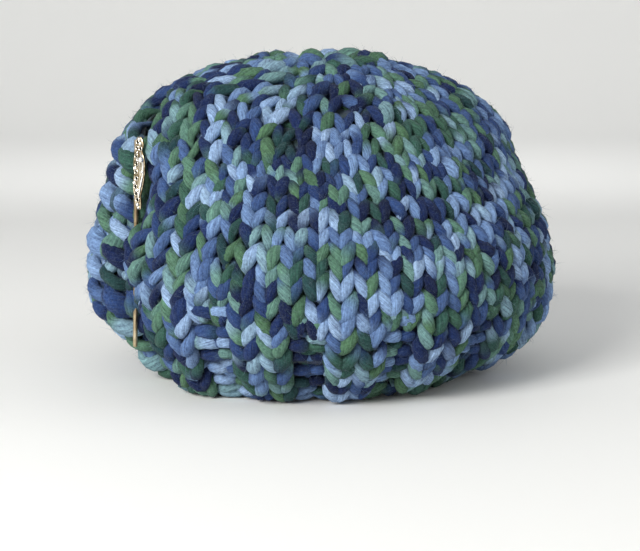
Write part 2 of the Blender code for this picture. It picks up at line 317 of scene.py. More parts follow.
felt_and_painted_shade, make, shader = finish_of("felted_wool_painted_shade", Sheen_Weight=0.3, Sheen_Roughness=0.6)
place = make.node("TexCoord", out="Object")
patch = make.node("TexNoise", {}, {"Vector": place, "Scale": 55.0, "Detail": 3.0}, out="Fac")
strands = make.node("TexNoise", {}, {"Vector": place, "Scale": 900.0, "Detail": 4.0}, out="Fac")
# The felt's colours, darker than the yarn's: painted shade for the gaps between the loops.
dark = make.node("ValToRGB", {"stops": (
    (0.30, (0.008, 0.016, 0.050)), (0.45, (0.022, 0.046, 0.130)), (0.55, (0.018, 0.050, 0.070)),
    (0.70, (0.024, 0.060, 0.045)))}, {0: patch})
feed(shader, Base_Color=dark.tint("MULTIPLY", 0.6, make.node(
    "ValToRGB", {"stops": ((0.3, (0.3, 0.3, 0.3)), (0.7, (1.0, 1.0, 1.0)))}, {0: strands})),
    Roughness=strands.between(0.3, 0.7, 0.85, 0.98),
    Normal=make.node("Bump", {}, {"Strength": 0.8, "Distance": 0.0006, "Height": strands}))
cloth_middle.data.materials.clear()
cloth_middle.data.materials.append(felt_and_painted_shade)
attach(cloth_middle, "root")
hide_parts("cosy_knit")


# ---------------------------------------------------------------- the knitted rows
# The yarn is a soft thick-and-thin roving, 6 mm where it lies open. Each stitch is a loop drawn
# through the one below, and shows as a V of two plump legs, or as a bar where it is purled in the
# ribbed hem.
ROW, CROWN_ROW = 0.0087, 0.0098   # height of a row on the sides and on the crown
ROWS = 25
RIB_ROWS = 6
STITCH = 0.0121              # width that a stitch takes when nothing pulls it
SQUEEZE = 0.71               # a stitch on the crown is drawn in to this share of it
FRONT_STITCHES, BACK_STITCHES = 28, 36
DRAWN_WIDE = (1.9, 1.6, 1.3, 1.1)   # the first stitches in front of the slit, drawn wide by the pin
OVER_NEEDLE = 0.0050         # how far out a stitch stands that lies over the pin's needle
EDGE_STITCHES = 2            # stitches of the back panel that lie under its slipped edge
EDGE_SUNK = 0.0034           # and how far in they lie
THIN, PLUMP = 0.0017, 0.0014  # the strand's radius behind the cloth, and what it gains in front
DEPTH = 0.0029               # how far the strand swings in front of the wall's middle and behind
FOOT = 0.40                  # share of it by which a leg's foot lies over the stitch below
PURL_PLUMP = 1.5             # a purl bar is plumper than a leg by this
LEG_LEAN, LEG_TALL = 0.305, 1.12   # how far a leg leans in stitches, and reaches up and down in rows
KNIT_OUT, PURL_OUT = 0.0016, -0.0030   # how the columns of the rib stand out and sink in
WANDER_ACROSS, WANDER_UP = 0.0011, 0.0021   # the unevenness of the whole knitting
SAMPLES, SIDES = 20, 10
luck = np.random.default_rng(7)


def row_tall(row):
    return ROW + (CROWN_ROW - ROW) * rising(row, 11, 17)


def row_middle(row):
    return 0.85 * ROW + sum(0.5 * (row_tall(r) + row_tall(r + 1)) for r in range(row))


def widest_open(row, hole):
    reach = np.linspace(row_middle(row) - ROW, row_middle(row) + ROW, 9)
    return half_open(reach, hole).max()


slipped_rows = [r for r in range(ROWS) if height_at(row_middle(r)) < 0.118]
handle_rows = [r for r in range(ROWS) if widest_open(r, HANDLE_HOLE) > 0.0008]
slit_rows = [r for r in range(ROWS) if height_at(row_middle(r) - ROW) < 0.128
             or widest_open(r, SPOUT_HOLE) > 0.0008]


def stitch_counts(row):
    """How many stitches the front and the back have when this row is off the needles."""
    along = row_middle(row) + ROW
    hung = math.sin(SLOPE) * slope_pull(np.arange(360), radius_at(along), height_at(along)).mean()
    room = 2 * math.pi * (radius_at(along) - hung - 0.5 * WALL)
    share = min(1.0, room / (SQUEEZE * STITCH * (FRONT_STITCHES + BACK_STITCHES)))
    return max(6, round(FRONT_STITCHES * share)), max(7, round(BACK_STITCHES * share))


counts = []
for row in range(ROWS):
    wanted = (FRONT_STITCHES, BACK_STITCHES) if row in slipped_rows else stitch_counts(row)
    counts.append(wanted if not counts else tuple(map(min, wanted, counts[-1])))


def parents(row, panel, child):
    """The stitches of the row below that this one is drawn through: two at a decrease."""
    now, below = counts[row][panel], counts[row - 1][panel]
    return child * below // now, (child + 1) * below // now - 1


def ribbed(row, number):
    """1 for a knit stitch and -1 for a purl one."""
    if row < RIB_ROWS:
        return 1.0 if number % 4 in (1, 2) else -1.0
    return 1.0


def panel_edges(row, panel, below):
    """Bearings between the stitches of a panel at the top of a row."""
    number = counts[row][panel]
    first, last = ((FRONT_EDGE, HANDLE_EDGE), (HANDLE_EDGE, BACK_EDGE))[panel]
    rib = rising(RIB_ROWS + 1 - row, 0, 3)
    wide = np.array([1 + 0.24 * rib * ribbed(0, k) for k in range(number)])
    if row in slipped_rows:
        if panel == 1:
            wide[-EDGE_STITCHES:] = 1.35
        else:
            wide[:len(DRAWN_WIDE)] = DRAWN_WIDE
    elif below is not None:
        drawn = np.array([below[parents(row, panel, k)[1] + 1] - below[parents(row, panel, k)[0]]
                          for k in range(number)])
        wide = 0.5 * wide / wide.mean() + 0.5 * drawn / drawn.mean()
    if row + 1 < ROWS:
        for child in range(counts[row + 1][panel]):
            start, end = parents(row + 1, panel, child)
            if end > start:
                wide[start:end + 1] *= 0.80
    return first + (last - first) * np.r_[0, np.cumsum(wide)] / wide.sum()


edges = []
for row in range(ROWS):
    edges.append([panel_edges(row, panel, edges[-1][panel] if edges else None) for panel in (0, 1)])
wander = luck.normal(size=(2, ROWS + 3, 64))
for _ in range(2):
    wander = (np.roll(wander, 1, 2) + 2 * wander + np.roll(wander, -1, 2)) / 4
    wander[:, 1:] = 0.5 * wander[:, 1:] + 0.5 * wander[:, :-1]
wander /= wander.std()


def wandered(which, row, bearing):
    """A smooth unevenness over the whole knitting."""
    across = ((np.asarray(bearing) + 164) / 360 * 64) % 64
    low, share = np.floor(across).astype(int), across - np.floor(across)
    line = wander[which, row]
    return line[low % 64] * (1 - share) + line[(low + 1) % 64] * share


def over_needle(height):
    """1 where the stitches in front of the slit have been picked up on the pin's needle."""
    return rising(height, 0.058, 0.067) * (1 - rising(height, 0.078, 0.088))


def knit_stitches(row, panel, numbers):
    """The strand through these stitches of a row: bearing, place up the cloth, out, radius."""
    top = edges[row][panel]
    bottom = edges[row - 1][panel] if row else top
    cross = np.arange(SAMPLES) / SAMPLES
    turn = 2 * np.pi * cross
    swing = -np.cos(2 * turn)
    swing = swing * (1.3 - 0.3 * swing * swing) + FOOT * np.cos(turn)
    lines = []
    for number in numbers:
        first, last = parents(row, panel, number) if row else (number, number)
        before, here, after = (ribbed(row, min(max(k, 0), counts[row][panel] - 1))
                               for k in (number - 1, number, number + 1))
        facing = here + 0.5 * (before - here) * rising(0.22 - cross, 0, 0.22)
        facing += 0.5 * (after - here) * rising(cross - 0.78, 0, 0.22)
        lean = LEG_LEAN + 0.042 * luck.normal()
        x = cross + lean * np.sin(2 * turn)
        y = -np.cos(turn) * (LEG_TALL + 0.07 * luck.normal()) + 0.06 * luck.normal()
        share = np.clip((y + 1) / 2, -0.1, 1.1)
        low = bottom[first] + (bottom[last + 1] - bottom[first]) * x
        high = top[number] + (top[number + 1] - top[number]) * x
        bearing = low + (high - low) * share
        along = row_middle(row) + y * row_tall(row)
        raised = KNIT_OUT if ribbed(0, number) > 0 else PURL_OUT
        out = DEPTH * facing * swing + 0.0004 * luck.normal() + raised * rising(RIB_ROWS + 1 - row, 0, 3)
        if panel and row in slipped_rows:
            edge = counts[row][1] - EDGE_STITCHES
            out -= EDGE_SUNK * rising(number, edge - 1, edge)
        if number == 0 and not panel:
            over = over_needle(height_at(along)) * rising(1.6 - x, 0, 1.2)
            out += OVER_NEEDLE * over
            bearing = bearing - np.degrees(0.0030 * over / radius_at(along))
        legs = 1 + 0.18 * luck.normal(size=2)
        plump = PLUMP * np.where(facing < 0, PURL_PLUMP, 1) * np.where(cross < 0.5, *legs)
        thick = THIN + plump * np.clip(facing * swing, 0, 1)
        pitch = np.radians(top[number + 1] - top[number]) * radius_at(row_middle(row))
        thick *= min(max(pitch / STITCH, 0.6), 1.1) ** 0.7
        bearing = bearing + np.degrees(WANDER_ACROSS * wandered(0, row, bearing) / radius_at(along))
        along = along + WANDER_UP * wandered(1, row, bearing)
        lines.append(np.stack([bearing, along, out, thick, np.full(SAMPLES, 1 - panel)], -1))
    return np.concatenate(lines)


def turning(end, start, bulge):
    """The strand's turn at the end of a row, bulging past the edge of the cloth by bulge metres."""
    t = np.linspace(0, 1, 10)[1:-1]
    arc = end + (start - end) * t[:, None]
    arc[:, 0] += np.degrees(bulge / radius_at(end[1])) * np.sin(np.pi * t)
    arc[:, 2] += (DEPTH + 0.0015) * np.sin(np.pi * t)
    arc[:, 3] = THIN + 0.0006 * np.sin(np.pi * t)
    return arc


def worked_flat(rows, panels):
    """One strand worked to and fro over these rows."""
    strand = []
    for index, row in enumerate(rows):
        line = []
        for panel in panels:
            line.append(knit_stitches(row, panel, range(counts[row][panel])))
        line = np.concatenate(line)[::-1 if index % 2 else 1]
        if strand:
            strand.append(turning(strand[-1][-1], line[0], 0.0006 if index % 2 else -0.0012))
        strand.append(line)
    return np.concatenate(strand)


def worked_round(row):
    """One row that goes right round and meets itself."""
    return np.concatenate([knit_stitches(row, panel, range(counts[row][panel])) for panel in (0, 1)])


def rows_worked(first, last):
    """The strands of these rows, each with whether it is closed on itself."""
    strands = []
    rows = list(range(first, last + 1))
    for parted, panels in ((False, (0, 1)), (True, (0,)), (True, (1,))):
        group = []
        for row in rows + [None]:
            if row in slit_rows and (row in handle_rows) == parted:
                group.append(row)
            elif group:
                strands.append((worked_flat(group, panels), False))
                group = []
    return strands + [(worked_round(row), True) for row in rows if row not in slit_rows]


def unit(vectors):
    return vectors / np.linalg.norm(vectors, axis=-1, keepdims=True)


def wound_rings(points, radii, closed):
    """Rings of vertices round a line of points."""
    ahead, behind = np.roll(points, -1, 0), np.roll(points, 1, 0)
    if not closed:
        ahead[-1], behind[0] = points[-1], points[0]
    way = unit(ahead - behind)
    side = np.zeros_like(points)
    side[0] = unit(np.cross(way[0], (0.0, 0.0, 1.0)))
    for i in range(1, len(points)):
        side[i] = unit(side[i - 1] - way[i] * (side[i - 1] @ way[i]))
    other = np.cross(way, side)
    twist = np.zeros(len(points))
    if closed:
        last = unit(side[-1] - way[0] * (side[-1] @ way[0]))
        miss = math.atan2(last @ other[0], last @ side[0])
        twist = -miss * np.arange(len(points)) / len(points)
    angle = 2 * np.pi * np.arange(SIDES) / SIDES + twist[:, None]
    lumps = luck.normal(size=(len(points), SIDES))
    beside = np.roll(lumps, 1, 0) + lumps + np.roll(lumps, -1, 0)
    lumps = (beside + np.roll(lumps, 1, 1) + np.roll(lumps, -1, 1)) / 5
    radii = radii[:, None] * (1 + 0.11 * lumps)
    ring = np.cos(angle)[..., None] * side[:, None] + np.sin(angle)[..., None] * other[:, None]
    return points[:, None] + radii[..., None] * ring


def thick_and_thin(strand):
    """The roving's own unevenness, which changes every few centimetres."""
    knots = luck.normal(size=len(strand) // 13 + 3)
    strand = strand.copy()
    strand[:, 3] *= 1 + 0.09 * np.interp(np.arange(len(strand)) / 13, np.arange(len(knots)), knots)
    return strand


def in_strips(start, step, strip=0.020):
    """Where each step along the yarn lies, when it is cut into strips and set side by side."""
    length = (start + step).max()
    strips = math.ceil(math.sqrt(length / strip) + 1)
    reach = 0.96 * length / (strips - 1)
    place, column, x = np.empty(len(start)), np.empty(len(start)), 0.0
    at, number = 0.0, 0
    for i, s in enumerate(step):
        if at + s > reach:
            at, number = 0.0, number + 1
        place[i], column[i] = at, number
        at += s
    columns = number + 1
    return place / reach * 0.98 + 0.01, step / reach * 0.98, (column + 0.06) / columns, 0.88 / columns


def wool_mesh(name, strands):
    """One mesh of all these strands, with the yarn's length and its round as the UV map."""
    vertices, faces, yarn_uv, base, wound = [], [], [], 0, 0.0
    starts, steps = [], []
    for strand, closed in strands:
        strand = thick_and_thin(strand)
        bearing, along, out, front = strand[:, 0], strand[:, 1], strand[:, 2], strand[:, 4] > 0.5
        points = cloth_point(opened(bearing, along, front), along, out)
        radii = strand[:, 3].copy()
        points[:, 2] = np.maximum(points[:, 2], 1.15 * radii + 0.0002)
        if not closed:
            radii[[0, -1]] *= 0.3
            radii[[1, -2]] *= 0.8
        number = len(points)
        i = np.arange(number if closed else number - 1)
        j = (i + 1) % number
        step = np.linalg.norm(points[j] - points[i], axis=1)
        start = wound + np.r_[0, np.cumsum(step)[:-1]]
        k = np.arange(SIDES)
        k1 = (k + 1) % SIDES
        faces.append(base + np.stack([i[:, None] * SIDES + k, i[:, None] * SIDES + k1,
                                      j[:, None] * SIDES + k1, j[:, None] * SIDES + k], -1).reshape(-1, 4))
        u0, v0 = np.broadcast_arrays(start[:, None], k / SIDES)
        u1, v1 = np.broadcast_arrays((start + step)[:, None], (k + 1) / SIDES)
        yarn_uv.append(np.stack([u0, v0, u0, v1, u1, v1, u1, v0], -1).reshape(-1, 4, 2))
        rings = wound_rings(points, radii, closed)
        vertices.append(rings.reshape(-1, 3))
        fluff.append((points[i], rings[i], start))
        starts.append(start)
        steps.append(step)
        base += number * SIDES
        wound = start[-1] + step[-1] + 0.31
    starts, steps = np.concatenate(starts), np.concatenate(steps)
    x, wide, y, tall = in_strips(np.r_[0, np.cumsum(steps)[:-1]], steps)
    k = np.arange(SIDES)
    x0, y0 = np.broadcast_arrays(x[:, None], y[:, None] + tall * k / SIDES)
    x1, y1 = np.broadcast_arrays((x + wide)[:, None], y[:, None] + tall * (k + 1) / SIDES)
    laid_out = np.stack([x0, y0, x0, y1, x1, y1, x1, y0], -1).reshape(-1, 4, 2)
    vertices, faces, yarn_uv = map(np.concatenate, (vertices, faces, yarn_uv))
    return mesh_of(name, vertices, faces, {"OFBake": laid_out, "yarn": yarn_uv})


def mesh_of(name, vertices, faces, maps):
    """A mesh from its corners, its faces with equal numbers of corners, and its UV maps."""
    mesh = bpy.data.meshes.new(name)
    mesh.vertices.add(len(vertices))
    mesh.vertices.foreach_set("co", vertices.ravel())
    mesh.loops.add(faces.size)
    mesh.loops.foreach_set("vertex_index", faces.ravel().astype(np.int32))
    mesh.polygons.add(len(faces))
    mesh.polygons.foreach_set("loop_start", np.arange(len(faces), dtype=np.int32) * faces.shape[1])
    mesh.update(calc_edges=True)
    for title, uv in maps.items():
        mesh.uv_layers.new(name=title).data.foreach_set("uv", uv.ravel())
    mesh.shade_smooth()
    return mesh


fluff = []
wool, make, shader = finish_of("wool", Sheen_Weight=0.06, Sheen_Roughness=0.4, Specular_IOR_Level=0.12,
                               Sheen_Tint=(0.8, 0.9, 1.0, 1.0))
uv = make.node("UVMap", {"uv_map": "yarn"})
u = make.node("SeparateXYZ", {}, {0: uv}, out=0)
v = make.node("SeparateXYZ", {}, {0: uv}, out=1)
pace = make.node("TexNoise", {"noise_dimensions": "1D"}, {"W": u, "Scale": 14.0, "Detail": 1.0}, out="Fac")
DYE_RUN = 0.027              # metres of yarn between one colour and the next
length = u / DYE_RUN + pace * 2.0
number = make.sum("FLOOR", length)
PALETTE = (
    (0.00, (0.005, 0.010, 0.044)), (0.14, (0.009, 0.021, 0.088)), (0.27, (0.026, 0.057, 0.172)),
    (0.38, (0.076, 0.138, 0.305)), (0.48, (0.180, 0.290, 0.515)), (0.57, (0.285, 0.410, 0.620)),
    (0.65, (0.160, 0.290, 0.310)), (0.73, (0.092, 0.198, 0.150)), (0.85, (0.074, 0.158, 0.084)),
    (0.93, (0.032, 0.092, 0.070)), (1.00, (0.012, 0.040, 0.050)))


def dyed(which):
    chance = make.node("TexWhiteNoise", {"noise_dimensions": "1D"}, {"W": which}, out="Value")
    return make.node("ValToRGB", {"stops": PALETTE}, {0: chance})


dye = dyed(number + 0.5).tint("MIX", make.sum("FRACT", length).between(0.62, 1.0), dyed(number + 1.5))
PLY_TURN = 0.040             # the fibres go once round the yarn in this length
angle = 6.2832 * (v + u / PLY_TURN)
grain = make.node("CombineXYZ", {}, {0: u * 120.0, 1: make.sum("COSINE", angle) * 4.4,
                                     2: make.sum("SINE", angle) * 4.4})
fibre = make.node("TexNoise", {}, {"Vector": grain, "Scale": 1.0, "Detail": 5.0, "Roughness": 0.72},
                  out="Fac")
place = make.node("TexCoord", out="Object")
felt = make.node("TexNoise", {}, {"Vector": place, "Scale": 700.0, "Detail": 3.0, "Roughness": 0.7},
                 out="Fac")
shade = make.node("ValToRGB", {"stops": ((0.37, (0.34, 0.34, 0.39)), (0.50, (0.92, 0.92, 0.92)),
                                          (0.64, (1.56, 1.56, 1.50)))},
                  {0: fibre * 0.62 + felt * 0.38})


def stray_hairs(scale, stretch):
    """Thin wandering lines, 1 on a hair and 0 beside it."""
    field = make.node("TexNoise", {}, {"Vector": make.node("Mapping", {}, {0: place, 3: stretch}),
                                       "Scale": scale, "Detail": 1.0, "Distortion": 0.4}, out="Fac")
    return make.sum("ABSOLUTE", field - 0.5).between(0.0, 0.035, 1.0, 0.0) * felt.between(0.46, 0.60)


stray = make.sum("MAXIMUM", stray_hairs(330.0, (1.0, 1.0, 0.35)), stray_hairs(370.0, (0.4, 0.6, 1.0)))
pale = dye.tint("MIX", 0.35, (0.30, 0.38, 0.47, 1.0))
lint = make.node("TexNoise", {}, {"Vector": place, "Scale": 1500.0, "Detail": 2.0, "Roughness": 0.8},
                 out="Fac")
paler = make.sum("MAXIMUM", stray * 0.24, lint.between(0.52, 0.66) * 0.26)
paler = make.sum("MAXIMUM", paler, v.between(1.5, 1.6) * 0.9)   # on the fluff v runs on from 2
feed(shader, Base_Color=dye.tint("MULTIPLY", 1.0, shade).tint("MIX", paler, pale),
     Roughness=fibre.between(0.3, 0.7, 0.95, 0.8),
     Normal=make.node("Bump", {}, {"Strength": 1.0, "Distance": 0.0009,
                                   "Height": fibre * 0.8 + felt * 0.4 + stray * 0.25}))


def wool_piece(name, mesh):
    piece = bpy.data.objects.new(name, mesh)
    bpy.context.scene.collection.objects.link(piece)
    piece.data.materials.append(wool)
    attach(piece, "root")
    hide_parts("cosy_knit")
    return piece


wool_piece("knitted_hem", wool_mesh("knitted_hem", rows_worked(0, 5)))
wool_piece("knitted_lower", wool_mesh("knitted_lower", rows_worked(6, 11)))
wool_piece("knitted_middle", wool_mesh("knitted_middle", rows_worked(12, 17)))
wool_piece("knitted_crown", wool_mesh("knitted_crown", rows_worked(18, ROWS - 1)))


# ---------------------------------------------------------------- slipped edge, cast-on and crown
# The edges are chains of the same yarn: big loose slipped loops down the back edge of the slit,
# a cast-on along the hem, and the last stitches gathered round the hole for the knob.
LINK = (
    # sideways, on, out, as shares of half the chain's width, of a link and of the depth
    (0.00, 0.10, -0.8), (-0.30, 0.34, 0.6), (-0.72, 0.56, 1.0), (-1.10, 0.86, 0.7), (-0.80, 1.20, -0.4),
    (0.00, 1.30, -0.9), (0.80, 1.20, -0.4), (1.10, 0.86, 0.7), (0.72, 0.56, 1.0), (0.30, 0.34, 0.6),
    (0.10, 0.12, -0.8), (0.00, 0.45, -1.5), (0.00, 0.80, -1.5),
)


def chained(links, half, depth, plump, lean=0.0):
    """A chain of links: sideways and out in metres, and on in links."""
    knots = []
    for link in range(links):
        size = 1 + 0.15 * luck.normal(size=3)
        for sideways, on, out in LINK:
            knots.append((half * sideways * size[0] + lean * (0.68 - on), link + on + 0.05 * size[1],
                          depth * out * size[1], plump * (0.86 + 0.14 * out) * size[2]))
    return smooth_curve(np.array(knots), 3)


LOOP_TALL, LOOP_HALF_WIDE, LOOP_DEEP, LOOP_PLUMP, LOOP_LEAN = 0.0128, 0.0082, 0.0042, 0.0041, 0.0048


def down_the_slit(column):
    """The slipped loops of one wide stitch, two rows tall each, numbered from the slit."""
    low, high = row_middle(0) - ROW, row_middle(slipped_rows[-1]) + ROW
    links = round((high - low) / LOOP_TALL)
    chain = chained(links, LOOP_HALF_WIDE, LOOP_DEEP, LOOP_PLUMP, LOOP_LEAN)
    curl = math.radians(20 if column == 0 else 0)
    sideways = chain[:, 0] * math.cos(curl) + chain[:, 2] * math.sin(curl)
    out = chain[:, 2] * math.cos(curl) - chain[:, 0] * math.sin(curl)
    along = low + (chain[:, 1] + 0.37 * column - 0.1) * (high - low) / links
    middle = np.interp(along, [row_middle(r) for r in slipped_rows],
                       [edges[r][1][-1 - column] + edges[r][1][-2 - column] for r in slipped_rows]) / 2
    bearing = middle + np.degrees(sideways / radius_at(along))
    return np.stack([bearing, along, out + 0.0005, chain[:, 3], 0 * out], -1), False


def round_the_edge(links, place, half, depth, plump):
    """A chain along an edge, right round the cosy from the slit."""
    chain = chained(links, half, depth, plump)
    bearing = FRONT_EDGE + chain[:, 1] * 358 / links
    front = bearing < HANDLE_EDGE
    return np.stack([bearing, place + chain[:, 0], chain[:, 2], chain[:, 3], front], -1), False


wool_piece("edge_chains", wool_mesh("edge_chains", [
    down_the_slit(0), down_the_slit(1), round_the_edge(46, 0.0022, 0.0030, 0.0016, 0.0030),
    round_the_edge(12, 0.2355, 0.0062, 0.0036, 0.0043)]))

# The fluff that felting by wear has drawn out of the yarn, each hair lying close along its strand.
HAIRS, HAIR_LENGTH, HAIR_RADIUS = 15000, 0.0044, 0.00007
FLOOR_CLEAR = 0.0004         # the lowest that a hair hangs
COSY_MIDDLE = (0.0, 0.0, 0.065)
middles, rings, along_yarn = (np.concatenate(part) for part in zip(*fluff))


def tuft(low, high):
    """Hairs rooted between two heights, each a thin three-sided spike that curls along the wool."""
    chosen = luck.choice(len(middles), HAIRS * 10)
    side = luck.integers(0, SIDES, len(chosen))
    root = rings[chosen, side]
    outward = unit(root - middles[chosen])
    away = root - np.array(COSY_MIDDLE)
    facing = (outward * unit(away * (1, 1, 1.4))).sum(1) > 0.45
    facing &= (root[:, 2] > low) & (root[:, 2] < high)
    chosen, side, root, outward = (part[facing][:HAIRS] for part in (chosen, side, root, outward))
    hairs = len(chosen)
    drift = unit(np.cross(outward, luck.normal(size=(hairs, 3))))
    curl = unit(luck.normal(size=(hairs, 3)))
    long = HAIR_LENGTH * (0.4 + luck.random((hairs, 1)))
    lift = 0.06 + 0.5 * luck.random((hairs, 1)) ** 2
    start, bend = drift + lift * outward, 0.6 * curl - 0.3 * lift * outward
    line = np.stack([root + long * (s * start + s * s * bend) for s in (-0.03, 0.5, 1.0)], 1)
    line[..., 2] = np.maximum(line[..., 2], FLOOR_CLEAR)
    way = unit(np.gradient(line, axis=1))
    first = unit(np.cross(way, outward[:, None]))
    other = np.cross(way, first)
    angle = 2 * np.pi * np.arange(3) / 3
    round_it = np.cos(angle)[:, None] * first[:, :2, None] + np.sin(angle)[:, None] * other[:, :2, None]
    spike = line[:, :2, None] + HAIR_RADIUS * np.array((1.0, 0.7))[None, :, None, None] * round_it
    spike = np.concatenate([spike.reshape(hairs, 6, 3), line[:, 2:]], 1)
    k = np.arange(3)
    k1 = (k + 1) % 3
    quads = np.stack([k, k1, 3 + k1, 3 + k], -1)
    tip = np.stack([3 + k, 3 + k1, 0 * k + 6], -1)
    tube = np.concatenate([quads[:, [0, 1, 2]], quads[:, [0, 2, 3]], tip, [[2, 1, 0]]])
    faces = (np.arange(hairs)[:, None, None] * 7 + tube).reshape(-1, 3)
    corner, owner = np.tile(tube.ravel(), hairs), np.repeat(np.arange(hairs), tube.size)
    on, turn = corner // 3, corner % 3
    yarn_uv = np.stack([along_yarn[chosen][owner] + 0.0004 * on, side[owner] / SIDES + 0.01 * turn + 2], -1)
    cells = math.ceil(math.sqrt(hairs))
    spot = np.stack([owner % cells + 0.1 + 0.25 * on, owner // cells + 0.15 + 0.3 * turn], -1) / cells
    return spike.reshape(-1, 3), faces, {"OFBake": spot, "yarn": yarn_uv}


wool_piece("lower_fluff", mesh_of("lower_fluff", *tuft(0.006, 0.085)))
wool_piece("upper_fluff", mesh_of("upper_fluff", *tuft(0.085, 0.200)))


# ---------------------------------------------------------------- the shawl pin
# A straight blunt brass needle, and on it a cast openwork head of scrolls, a leaf and beads in
# a silvered metal, worn bright on top and dark in its hollows. It is pushed down through the slit.
NEEDLE_ENDS = (
    # radius, bearing, height
    (0.1091, 197.5, 0.128),
    (0.1118, 197.2, 0.022),
)
HEAD_TURN = math.radians(22)   # the head's face turns this far to the front
HEAD_PLACE = (0.0017, 0.0042, 0.0015)   # out, aside and up from the needle's top


def needle_end(radius, bearing, height):
    angle = math.radians(bearing)
    return Vector((radius * math.cos(angle), radius * math.sin(angle), height))


pin_top, pin_foot = (needle_end(*end) for end in NEEDLE_ENDS)
upwards = (pin_top - pin_foot).normalized()
middle_out = Vector((pin_top.x + pin_foot.x, pin_top.y + pin_foot.y, 0)).normalized()
sideways = upwards.cross(middle_out).normalized()
head_frame = Matrix((sideways.cross(upwards), sideways, upwards)).transposed().to_4x4()
head_frame.translation = pin_top
head_frame = head_frame @ Matrix.Rotation(HEAD_TURN, 4, "Z") @ Matrix.Translation(HEAD_PLACE)
HEAD_OUTLINE = (
    # down from the top, its left edge and its right edge, in millimetres
    (0.0, -0.9, 0.9), (1.5, -2.2, 1.9), (4.0, -2.6, 2.5), (6.6, -2.4, 1.6), (8.8, -3.2, 2.4),
    (12.6, -3.7, 3.6), (17.7, -3.4, 3.5), (22.0, -3.6, 2.8), (25.4, -3.9, 1.9), (28.8, -3.2, 0.9),
    (31.5, -2.6, 0.9), (33.9, -1.9, 1.1), (35.8, -0.9, 0.8),
)
HEAD_HOLES = (
    # down, sideways, half height, half width, in millimetres
    (2.2, -0.9, 0.9, 0.7), (5.2, -1.2, 1.0, 0.7), (5.5, 1.0, 0.8, 0.5), (9.2, -1.8, 1.3, 0.7),
    (13.2, -1.5, 1.5, 1.3), (17.3, -1.8, 1.2, 1.0), (20.6, -1.5, 1.2, 1.0), (24.6, -2.2, 1.4, 1.0),
    (28.2, -1.6, 1.0, 0.7), (31.2, -0.8, 0.9, 0.7),
)
head_parts = []


def head_part(out, aside, down):
    """Takes the mesh just made into the head, turned to face outwards, at this place in millimetres."""
    part = bpy.context.object
    part.matrix_world = Matrix.Translation((out / 1000, aside / 1000, -down / 1000)) @ part.matrix_world
    bpy.ops.object.transform_apply(location=True, rotation=True, scale=True)
    bpy.ops.object.shade_smooth()
    head_parts.append(part)
    return part


deselect_all()
outline = smooth_curve(np.array(HEAD_OUTLINE), 4)
FACING_OUT = (0, math.radians(90), 0)
bpy.ops.mesh.primitive_circle_add(vertices=2 * len(outline), radius=1, fill_type="NGON",
                                  rotation=FACING_OUT)
plate = head_part(0, 0, 0)
round_the_head = [(right, down) for down, left, right in outline]
round_the_head += [(left, down) for down, left, right in reversed(outline)]
for vertex, (aside, down) in zip(plate.data.vertices, round_the_head):
    vertex.co = (0, aside / 1000, -down / 1000)
bpy.ops.object.mode_set(mode="EDIT")
bpy.ops.mesh.select_all(action="SELECT")
bpy.ops.mesh.extrude_region_move(TRANSFORM_OT_translate={"value": (0.0011, 0, 0)})
bpy.ops.mesh.select_all(action="SELECT")
bpy.ops.mesh.normals_make_consistent(inside=False)
bpy.ops.object.mode_set(mode="OBJECT")
for down, aside, tall, wide in HEAD_HOLES:
    deselect_all()
    bpy.ops.mesh.primitive_cylinder_add(vertices=20, radius=0.001, depth=0.006, rotation=FACING_OUT)
    drill = bpy.context.object
    drill.scale = (tall, wide, 1)
    bpy.ops.object.transform_apply(location=True, rotation=True, scale=True)
    drill.location = (0, aside / 1000, -down / 1000)
    pierce = plate.modifiers.new("pierce", "BOOLEAN")
    pierce.object = drill
    pierce.operation = "DIFFERENCE"
    pierce.solver = "EXACT"
    deselect_all()
    plate.select_set(True)
    bpy.context.view_layer.objects.active = plate
    bpy.ops.object.modifier_apply(modifier="pierce")
    bpy.data.objects.remove(drill)
    deselect_all()
    bpy.ops.mesh.primitive_torus_add(major_radius=0.001, minor_radius=0.00020, major_segments=28,
                                     minor_segments=8, rotation=FACING_OUT)
    bpy.context.object.scale = (tall + 0.3, wide + 0.3, 2.2)
    head_part(1.25, aside, down)


def bent_wire(points, thickness, closed=False):
    """A round wire of this thickness bent through these places: out, aside and down, in millimetres."""
    deselect_all()
    bpy.ops.mesh.primitive_circle_add(vertices=len(points), radius=1, fill_type="NOTHING")
    wire = bpy.context.object
    for vertex, (out, aside, down) in zip(wire.data.vertices, points):
        vertex.co = (out / 1000, aside / 1000, -down / 1000)
    if not closed:
        bpy.ops.object.mode_set(mode="EDIT")
        bpy.ops.mesh.select_mode(type="EDGE")
        bpy.ops.mesh.select_all(action="DESELECT")
        bpy.ops.object.mode_set(mode="OBJECT")
        for edge in wire.data.edges:
            edge.select = abs(edge.vertices[0] - edge.vertices[1]) > 1
        bpy.ops.object.mode_set(mode="EDIT")
        bpy.ops.mesh.delete(type="EDGE")
        bpy.ops.object.mode_set(mode="OBJECT")
    bpy.ops.object.convert(target="CURVE")
    bpy.context.object.data.bevel_depth = 0.0005 * thickness
    bpy.context.object.data.bevel_resolution = 2
    bpy.context.object.data.use_fill_caps = not closed
    bpy.ops.object.convert(target="MESH")
    return head_part(0, 0, 0)


